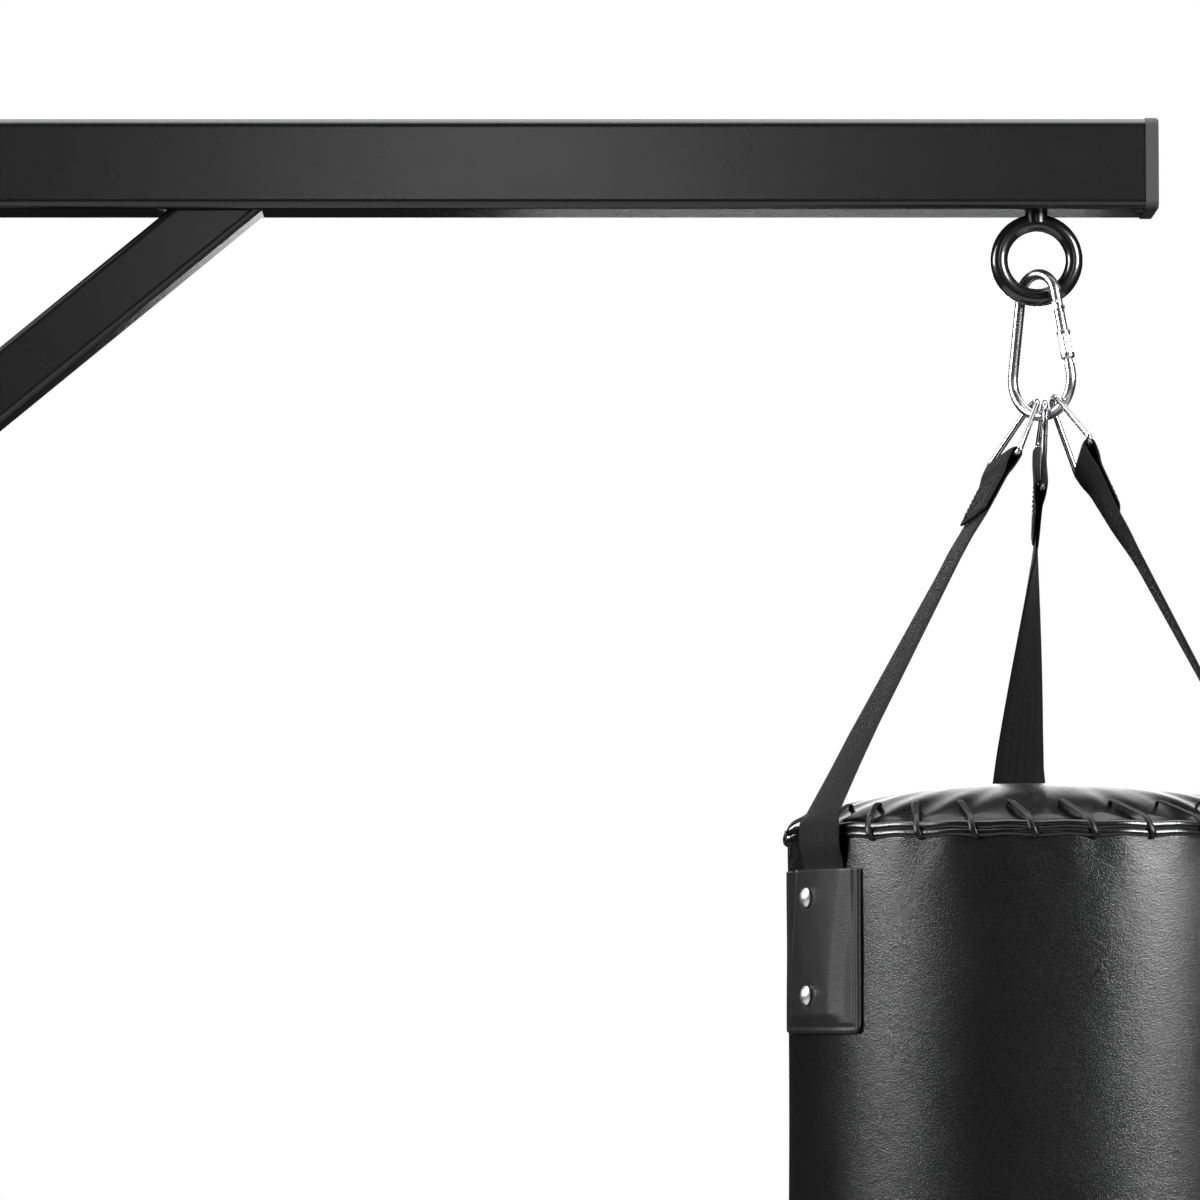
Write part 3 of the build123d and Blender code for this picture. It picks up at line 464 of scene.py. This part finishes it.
def press_out(obj):
    """The leather under the filling's pressure: a short cloth simulation, held at the hem and bottom seam."""
    group = obj.vertex_groups.new(name="held")
    for v in obj.data.vertices:
        z = v.co.z
        inward = hypot(v.co.x - AXIS.x, v.co.y) < R * 0.975
        at_hem = smooth(z, HEM - 26 * MM, HEM - 14 * MM)
        at_seam = 1 - smooth(z, FLOOR_END + 4 * MM, FLOOR_END + 20 * MM)
        hold = max(at_hem, at_seam)
        group.add([v.index], 1.0 if inward else max(hold, 0.0), "REPLACE")
    start = [v.co.copy() for v in obj.data.vertices]
    cloth = obj.modifiers.new("cloth", "CLOTH")
    cloth.settings.quality = 5
    cloth.settings.mass = 0.4
    cloth.settings.tension_stiffness = 60
    cloth.settings.compression_stiffness = 60
    cloth.settings.shear_stiffness = 30
    cloth.settings.bending_stiffness = 8
    cloth.settings.use_pressure = True
    cloth.settings.uniform_pressure_force = 4.0
    cloth.settings.vertex_group_mass = "held"
    cloth.settings.effector_weights.gravity = 0.0
    cloth.collision_settings.use_self_collision = False
    cloth.point_cache.frame_start = 1
    cloth.point_cache.frame_end = PRESS_FRAMES
    scene = bpy.context.scene
    for f in range(1, PRESS_FRAMES + 1):
        scene.frame_set(f)
    deps = bpy.context.evaluated_depsgraph_get()
    moved = obj.evaluated_get(deps).to_mesh()
    ends = [v.co.copy() for v in moved.vertices]
    obj.evaluated_get(deps).to_mesh_clear()
    obj.modifiers.remove(cloth)
    scene.frame_set(1)
    for v, a, b in zip(obj.data.vertices, start, ends):
        step = b - a
        if step.length > PRESS_LIMIT:
            step = step * (PRESS_LIMIT / step.length)
        v.co = a + step
    obj.vertex_groups.remove(group)


press_out(wall)
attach(wall, "bag")
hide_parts("bag_shell", "bag_bottom", "bag_foam_liner", "bag_filling")

# ---------------- top cover ----------------
RISE = dome_top - HEM
SHOULDER = 3.6  # the higher, the flatter the top and the steeper its edge
FOLD = 1.8 * MM


def dome_z(r):
    """The cover's height: nearly flat on top, falling steeply over a full shoulder to the hem."""
    return HEM + 2.2 * MM + (RISE - 4.5 * MM) * (1 - (r / R) ** SHOULDER)


def top_height(a, r):
    """Height of the cover, with its soft folds drawn towards the stitches."""
    share = r / R
    near = smooth(share, 0.55, 0.95)
    fold = (0.5 - 0.5 * cos((a - SLANT * 0.3) / PITCH * 2 * pi) - 0.5) * FOLD * near
    p = radial(a) * r
    soft = noise.noise(Vector((p.x * 9, p.y * 9, 2.0))) * 1.2 * MM
    crease = noise.noise(Vector((a * 9.0, share * 3.0, 7.0))) * 1.5 * MM * near
    soft *= 1 - smooth(share, 0.9, 1.0)
    crease *= 1 - smooth(share, 0.93, 1.0)
    return dome_z(min(r, R * 0.999)) + fold + soft + crease


def top_mesh():
    rings = []
    count = COLUMNS * 2
    angles = [k * 2 * pi / count for k in range(count)]
    for i in range(47):
        r = R * (0.02 + 0.93 * (i / 46))
        rings.append([polar(r, a, top_height(a, r) - 1.5 * MM) for a in angles])
    edge = ((0.965, 3.0), (0.985, 2.2), (0.998, 0.8), (1.0, -1.5), (0.99, -3.0), (0.96, -3.0), (0.9, -2.0))
    for share, rise in edge:
        rings.append(circle(R * share, HEM + rise * MM, count))
    return loft("bag_cover", rings, TOP_LEATHER)


cover = top_mesh()
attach(cover, "bag")
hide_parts("bag_top")


def band(name, profile, material, count, shape):
    """A ring round the bag from a closed profile of (out, up) points in millimetres."""
    rings = []
    for k in range(count):
        a = k * 2 * pi / count
        grow, lift = shape(a)
        rings.append([polar(R + out * grow * MM, a, HEM + (up + lift) * MM) for out, up in profile])
    return loft(name, rings, material, closed=True)


def round_profile(cx, cy, rx, ry, n=14):
    return [(cx + rx * cos(2 * pi * i / n), cy + ry * sin(2 * pi * i / n)) for i in range(n)]


def hem_shape(a):
    return 0.82 + 0.3 * pucker(a), 0.8 * (pucker(a) - 0.5) + 0.5 * noise.noise(Vector((a * 6, 3, 1)))


hems = [
    band("hem_upper", round_profile(0.0, 0.8, 2.1, 2.9), HEM_LEATHER, COLUMNS * 2, hem_shape),
    band("hem_lower", round_profile(0.1, -4.2, 1.9, 2.6), HEM_LEATHER, COLUMNS * 2, hem_shape),
]
for o in hems:
    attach(o, "bag")


# ---------------- lace ----------------
LACE_LOW = HEM - 7.5 * MM
LACE_HALF_WIDTH = 2.2 * MM
LACE_HALF_THICKNESS = 0.85 * MM
LACE_STEPS = 4
LACE_SIDES = 12


def curve_at(p0, p1, p2, p3, t):
    """A point of the Catmull-Rom curve between p1 and p2, and the curve's direction there."""
    square = 2 * p0 - 5 * p1 + 4 * p2 - p3
    cube = 3 * p1 - p0 - 3 * p2 + p3
    point = 0.5 * ((2 * p1) + (p2 - p0) * t + square * t * t + cube * t ** 3)
    heading = 0.5 * ((p2 - p0) + square * 2 * t + cube * 3 * t * t)
    return point, heading.normalized()


def lace_turn(base):
    """One turn's control points, with the outward direction at each: radius, degrees on from the base, height
    over the cover in millimetres or a named level, and how far the lace's face turns upwards."""
    pts = [
        (156, -2.4, -9.0, 0.3), (146.5, -0.4, None, 1.0), (146.2, 0.0, 0.4, 1.0), (149, 0.5, 2.4, 1.0),
        (156, 2.2, 2.6, 0.95), (163, 4.0, 2.8, 0.8), (169.8, 5.5, 3.0, 0.6), (173.9, 6.3, "rim", 0.25),
        (174.0, 6.9, "low", 0.05), (170.8, 7.2, "hole", 0.0), (160, 7.4, "in", 0.0),
    ]
    out = []
    for r, deg, up_mm, rise in pts:
        r *= MM
        a = base + radians(deg)
        if up_mm is None:
            z = dome_z(r) - 5 * MM
        elif up_mm == "rim":
            z = HEM - 0.5 * MM
        elif up_mm == "low":
            z = HEM - 5.6 * MM
        elif up_mm == "hole":
            z = LACE_LOW
        elif up_mm == "in":
            z = LACE_LOW - 1.0 * MM
        else:
            z = dome_z(min(r, R * 0.999)) + up_mm * MM
        out.append((polar(r, a, z), radial(a) * (1 - rise) + UP * rise))
    return out


def lace_mesh():
    points = []
    normals = []
    for i in range(STITCHES):
        for p, n in lace_turn(i * PITCH):
            points.append(p)
            normals.append(n)
    total = len(points)
    rings = []
    for i in range(total):
        near = [points[(i + d) % total] for d in (-1, 0, 1, 2)]
        here, after = normals[i], normals[(i + 1) % total]
        for k in range(LACE_STEPS):
            t = k / LACE_STEPS
            centre, ahead = curve_at(*near, t)
            out = here * (1 - t) + after * t
            out = (out - ahead * out.dot(ahead)).normalized()
            side = ahead.cross(out)
            ring = []
            for q in range(LACE_SIDES):
                w = 2 * pi * q / LACE_SIDES
                ring.append(centre + side * (LACE_HALF_WIDTH * cos(w)) + out * (LACE_HALF_THICKNESS * sin(w)))
            rings.append(ring)
    return loft("bag_lacing", rings, LACE, closed=True)


lacing = lace_mesh()
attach(lacing, "bag")
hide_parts("bag_lace")


# ---------------- straps ----------------
def width_at(f, twist):
    """Direction of the webbing's width, in degrees, at this share of the way down."""
    for (f0, a0), (f1, a1) in zip(twist, twist[1:]):
        if f <= f1:
            return a0 + (a1 - a0) * (f - f0) / (f1 - f0)
    return twist[-1][1]


def across(angle, direction):
    """The width direction at this angle, square to the run."""
    flat = Vector((cos(radians(angle)), sin(radians(angle)), 0))
    return (flat - direction * flat.dot(direction)).normalized()


def wall_azimuth(azimuth, slant, z):
    """Where the webbing lies on the wall at this height: it may slant from the rim down to its end."""
    return radians(azimuth + slant * smooth(z, PATCH_BOTTOM + 10 * MM, HEM + 6 * MM))


def strap_frames(azimuth, slant, along, twist):
    """The main run from the ring's bar down to the end under the patch, as (centre, width, out, bow) at each
    step, with the bar's place, the fall's direction and its free length."""
    arc = along * MM / BOTTOM_ARC
    seat = BASE + HOOK_DIR * (BOTTOM_ARC * sin(arc)) + UP * (BOTTOM_ARC * (1 - cos(arc)))
    a = radians(azimuth + slant)
    out = radial(a)
    rim = AXIS + out * (R + RIM_OUT + WEB / 2) + UP * (HEM + 6 * MM)
    fall = (rim - seat).normalized()
    bar = seat + fall * BAR_DROP
    free = (rim - bar).length
    wall_dir = Vector((cos(a), sin(a), 0))
    if across(twist[-1][1], fall).dot(wall_dir) < 0:
        wall_dir = -wall_dir
    face = 1 if wall_dir.cross(-UP).dot(out) > 0 else -1
    sag = R * (1 - cos(WIDTH / 2 / R))
    line = []
    steps = 60
    for i in range(steps):
        f = i / steps
        wide = across(width_at(f, twist), fall) * face
        line.append((bar + fall * (free * f), wide, wide.cross(fall), sag * max(0.0, f - 0.75) * 4))
    bend = (fall - UP).normalized()
    wide = across(degrees(atan2(wall_dir.y, wall_dir.x)), bend) * face
    line.append((rim, wide, wide.cross(bend), sag))
    # below the rim: height from the hem and distance off the wall, in millimetres
    lays = (
        (-3, 5.3), (-8, 5.2), (-12, 4.6), (-16, 3.2), (-19, 2.0),
        (-22, 0.9), (-25.5, 0.25), (-30, 0.2), (-60, 0.2), (-123, 0.2),
    )
    side = 1 if wall_dir.dot(Vector((cos(a), sin(a), 0))) > 0 else -1
    for up, stand in lays:
        b = wall_azimuth(azimuth, slant, HEM + up * MM)
        centre = AXIS + radial(b) * (R + stand * MM + WEB / 2) + UP * (HEM + up * MM)
        line.append((centre, Vector((cos(b), sin(b), 0)) * side * face, radial(b), sag))
    return line, bar, fall, free


def strap_mesh(name, azimuth, slant, along, twist):
    line, bar, fall, free = strap_frames(azimuth, slant, along, twist)
    rings = []
    # the folded end: lies on the outer face, then round the bar, then the main run
    offset = WEB / 2 + 0.15 * MM
    turn_r = BAR_GAP + WEB / 2
    tail = []
    for i in range(14):
        d = LOOP - (LOOP - 8 * MM) * i / 13
        f = d / free
        face_w = line[0][1]
        angle = width_at(f, twist)
        wide = across(angle, fall)
        if wide.dot(face_w) < 0:
            wide = -wide
        out = wide.cross(fall)
        k = offset + (turn_r - offset) * (1 - smooth(d, 6 * MM, 17 * MM))
        tail.append((bar + fall * d + out * k, wide, out, 0.0))
    wide0 = line[0][1]
    out0 = line[0][2]
    turn = []
    for i in range(13):
        w = pi * i / 12
        direction = out0 * cos(w) - fall * sin(w)
        turn.append((bar + direction * turn_r, wide0, direction, 0.0))
    main = []
    for c, wide, out, bow in line:
        d = (c - bar).dot(fall)
        if d < 7 * MM:
            continue
        k = offset + (turn_r - offset) * (1 - smooth(d, 6 * MM, 17 * MM))
        k *= 1 - smooth(d, LOOP * 0.9, LOOP * 1.5)
        main.append((c - out * k, wide, -out, -bow))
    path = tail + turn + main
    length = 0.0
    uvs = []
    last = None
    steps = 8
    for c, wide, out, bow in path:
        if last is not None:
            length += (c - last).length
        last = c
        rings.append(flat_ring(c, wide, out, WIDTH / 2, WEB / 2, bow, steps))
        for i in range(steps + 1):
            uvs.append(((-1 + 2 * i / steps) * WIDTH / 2, length))
        for i in range(steps + 1):
            uvs.append(((1 - 2 * i / steps) * WIDTH / 2, length))
    o = loft(name, rings, WEBBING, uvs=uvs)
    bevel = o.modifiers.new("soft", "SUBSURF")
    bevel.levels = 1
    bevel.render_levels = 2
    return o, length, line, bar, fall, free


def strap_threads(name, line, bar, fall, free, twist):
    """Sewn box with a cross, and a bar tack, on the folded loop's outer face."""
    def at(d, w):
        f = d / free
        wide = across(width_at(f, twist), fall)
        if wide.dot(line[0][1]) < 0:
            wide = -wide
        out = wide.cross(fall)
        return bar + fall * d + wide * w + out * (WEB + 0.15 * MM), out
    low, high = 20 * MM, 44 * MM
    half = 19 * MM
    corners = [((low, -half), (low, half)), ((high, -half), (high, half)), ((low, -half), (high, -half)),
               ((low, half), (high, half)), ((low, -half), (high, half)), ((low, half), (high, -half)),
               ((15 * MM, -half), (15 * MM, half))]
    runs = []
    for (d0, w0), (d1, w1) in corners:
        pts = []
        nrm = []
        count = 90
        for i in range(count + 1):
            t = i / count
            p, n = at(d0 + (d1 - d0) * t, w0 + (w1 - w0) * t)
            pts.append(p)
            nrm.append(n)
        runs += stitch_run(pts, nrm, 2.6 * MM, 1.0 * MM)
    return tube_mesh(name, runs, 0.32 * MM, THREAD)


def patch_out(a, z, azimuth, slant):
    """Outer radius of the leather patch: raised over the webbing, sunk at its seam and round the rivets."""
    arc = abs(a - azimuth) * R
    beside = abs(a - wall_azimuth(degrees(azimuth), slant, z)) * R
    over = 1 - smooth(beside, WIDTH / 2 - 1.0 * MM, WIDTH / 2 + 15 * MM)
    foot = smooth(z, PATCH_BOTTOM + 4 * MM, PATCH_BOTTOM + 13 * MM)
    high = over * foot
    edge = min(PATCH_HALF * R - arc, z - PATCH_BOTTOM, PATCH_TOP - z + 30 * MM)
    bead = -1.3 * MM * (1 - smooth(abs(edge - SEAM_INSET), 0.0, 1.7 * MM))
    roll = -1.6 * MM * (1 - smooth(edge, 0.0, 1.8 * MM))
    p = radial(a)
    soft = noise.noise(Vector((p.x * 14, p.y * 14, z * 22))) * 0.35 * MM
    dent = 0.0
    for rz in RIVET_HEIGHTS:
        near = hypot(arc, z - rz)
        dent -= 0.5 * MM * (1 - smooth(near, 5.5 * MM, 12 * MM))
    return R + 3.1 * MM + 2.75 * MM * high + bead + roll + soft + dent


def patch_mesh(name, azimuth, slant):
    """The patch as a closed piece: its outer skin, an inner skin that clears the webbing, and its edges."""
    a0 = radians(azimuth)
    n_a, n_z = 92, 86
    verts = []
    faces = []
    for j in range(n_z + 1):
        z = PATCH_BOTTOM + (PATCH_TOP - PATCH_BOTTOM) * j / n_z
        for i in range(n_a + 1):
            s = -1 + 2 * i / n_a
            a = a0 + PATCH_HALF * s
            corner = max(0.0, abs(s) * PATCH_HALF * R - (PATCH_HALF * R - 6 * MM))
            lift = 0.0
            if z < PATCH_BOTTOM + 6 * MM and corner > 0:
                cut = 6 * MM - sqrt(max(0.0, 36 * MM * MM - corner * corner))
                lift = cut * (1 - (z - PATCH_BOTTOM) / (6 * MM))
            r = patch_out(a, z + lift, a0, slant)
            verts.append(polar(r, a, z + lift))
    top = len(verts)
    for j in range(n_z + 1):
        z = PATCH_BOTTOM + (PATCH_TOP - PATCH_BOTTOM) * j / n_z
        for i in range(n_a + 1):
            s = -1 + 2 * i / n_a
            a = a0 + PATCH_HALF * s
            v = verts[j * (n_a + 1) + i]
            arc = abs(a - wall_azimuth(azimuth, slant, z)) * R
            inner = R + 0.1 * MM
            if arc < WIDTH / 2 + 1 * MM and z > PATCH_BOTTOM + 9 * MM:
                inner = R + 2.9 * MM
            verts.append(polar(inner, a, v.z))
    w = n_a + 1
    for j in range(n_z):
        for i in range(n_a):
            q = j * w + i
            faces.append((q, q + 1, q + w + 1, q + w))
            faces.append((top + q, top + q + w, top + q + w + 1, top + q + 1))
    border = [i for i in range(w)] + [j * w + n_a for j in range(1, n_z + 1)]
    border += [n_z * w + i for i in range(n_a - 1, -1, -1)] + [j * w for j in range(n_z - 1, 0, -1)]
    for k in range(len(border)):
        a, b = border[k], border[(k + 1) % len(border)]
        faces.append((a, top + a, top + b, b))
    return add_object(name, verts, faces, PATCH_LEATHER)


def patch_threads(name, azimuth, slant):
    """The seam down one side of the patch, along its foot and up the other side."""
    a0 = radians(azimuth)
    side = PATCH_HALF - SEAM_INSET / R
    path = []
    z0, z1 = PATCH_BOTTOM + SEAM_INSET, PATCH_TOP - 2 * MM
    steps = 150
    for i in range(steps):
        path.append((a0 - side, z1 + (z0 - z1) * i / steps))
    for i in range(steps):
        path.append((a0 - side + 2 * side * i / steps, z0))
    for i in range(steps + 1):
        path.append((a0 + side, z0 + (z1 - z0) * i / steps))
    pts = [polar(patch_out(a, z, a0, slant), a, z) for a, z in path]
    nrm = [radial(a) for a, z in path]
    return tube_mesh(name, stitch_run(pts, nrm, 3.0 * MM, 1.1 * MM, 0.1 * MM), 0.35 * MM, THREAD)


for name, azimuth, slant, along, twist in STRAPS:
    strap, length, line, bar, fall, free = strap_mesh(f"webbing_{name}", azimuth, slant, along, twist)
    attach(strap, "bag")
    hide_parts(f"strap_{name}")
    sewn = strap_threads(f"loop_stitches_{name}", line, bar, fall, free, twist)
    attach(sewn, "bag")
    patch = patch_mesh(f"patch_{name}", azimuth, slant)
    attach(patch, "bag")
    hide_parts(f"strap_patch_{name}")
    threads = patch_threads(f"patch_stitches_{name}", azimuth, slant)
    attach(threads, "bag")

# ---------------- stage, light, camera ----------------
# The floor glows faintly, so that it stays pale far from the lights. It is hidden from the object's own
# reflections, which see the floor_bounce panel instead, so that the black frame isn't greyed from below.
FLOOR_HALF = 40
PALE = plastic("pale_floor", (0.75, 0.75, 0.74), 0.7)
pale_surface = PALE.node_tree.nodes["Principled BSDF"]
pale_surface.inputs["Emission Color"].default_value = (1, 1, 1, 1)
pale_surface.inputs["Emission Strength"].default_value = 0.5
corners = [(x * FLOOR_HALF, y * FLOOR_HALF, 0) for x, y in ((-1, -1), (1, -1), (1, 1), (-1, 1))]
floor = add_object("floor", corners, [(0, 1, 2, 3)], PALE)
floor.visible_diffuse = False
floor.visible_glossy = False

world = bpy.context.scene.world or bpy.data.worlds.new("World")
bpy.context.scene.world = world
world.use_nodes = True
tree = world.node_tree
tree.nodes.clear()
output = tree.nodes.new("ShaderNodeOutputWorld")
white = tree.nodes.new("ShaderNodeBackground")
white.inputs["Color"].default_value = (1, 1, 1, 1)
white.inputs["Strength"].default_value = 1.0
dim = tree.nodes.new("ShaderNodeBackground")
dim.inputs["Color"].default_value = (1, 1, 1, 1)
dim.inputs["Strength"].default_value = 0.015
path_node = tree.nodes.new("ShaderNodeLightPath")
mixer = tree.nodes.new("ShaderNodeMixShader")
tree.links.new(path_node.outputs["Is Camera Ray"], mixer.inputs[0])
tree.links.new(dim.outputs[0], mixer.inputs[1])
tree.links.new(white.outputs[0], mixer.inputs[2])
tree.links.new(mixer.outputs[0], output.inputs["Surface"])


def softbox(name, at, aim, size, power):
    """A rectangular area light that the camera doesn't see."""
    data = bpy.data.lights.new(name, "AREA")
    data.shape = "RECTANGLE"
    data.size, data.size_y = size
    data.energy = power
    o = bpy.data.objects.new(name, data)
    bpy.context.scene.collection.objects.link(o)
    o.location = at
    o.rotation_euler = (Vector(aim) - Vector(at)).to_track_quat("-Z", "Y").to_euler()
    o.visible_camera = False
    return o


softbox("overhead", (0.0, 0.1, 4.3), (0.0, 0.1, 2.0), (3.2, 2.4), 40)
sky = softbox("sky", (0.0, 0.5, 5.2), (0.0, 0.5, 2.0), (7.0, 3.6), 230)
back = softbox("back_panel", (0.3, 4.2, 2.55), (0.3, 0.0, 1.8), (3.0, 0.8), 34)
upper = softbox("upper_back", (0.3, 4.0, 3.45), (0.3, 0.0, 1.8), (3.0, 0.9), 14)
glow = softbox("brace_glow", (0.3, 4.2, 2.14), (-0.3, 0.0, 2.0), (0.75, 0.45), 6)
softbox("left_panel", (-2.55, -0.6, 2.8), (0.3, 0.0, 2.2), (1.4, 1.5), 140)
softbox("right_panel", (2.45, -2.05, 2.8), (0.3, 0.0, 2.2), (1.15, 1.5), 185)
softbox("front", (-0.12, -5.6, 2.9), (0.0, 0.0, 2.1), (0.6, 0.6), 6)
bounce = softbox("floor_bounce", (0.0, -1.2, 0.03), (0.0, -1.2, 2.0), (5.0, 5.0), 65)
# these only make highlights
for panel in (sky, back, upper, glow, bounce):
    panel.visible_diffuse = False

camera_data = bpy.data.cameras.new("camera")
camera = bpy.data.objects.new("camera", camera_data)
bpy.context.scene.collection.objects.link(camera)
FRAME_WIDTH = 0.8  # metres seen across the picture at the object's plane
eye = Vector((RING.x - 0.292, -4.5, 1.595))
target = Vector((eye.x, 0.0, 1.8907))
camera.location = eye
camera.rotation_euler = (target - eye).to_track_quat("-Z", "Y").to_euler()
camera_data.sensor_width = 36
camera_data.lens = camera_data.sensor_width * (target - eye).length / FRAME_WIDTH
camera_data.clip_end = 200
bpy.context.scene.camera = camera
bpy.context.scene.view_settings.view_transform = "Standard"
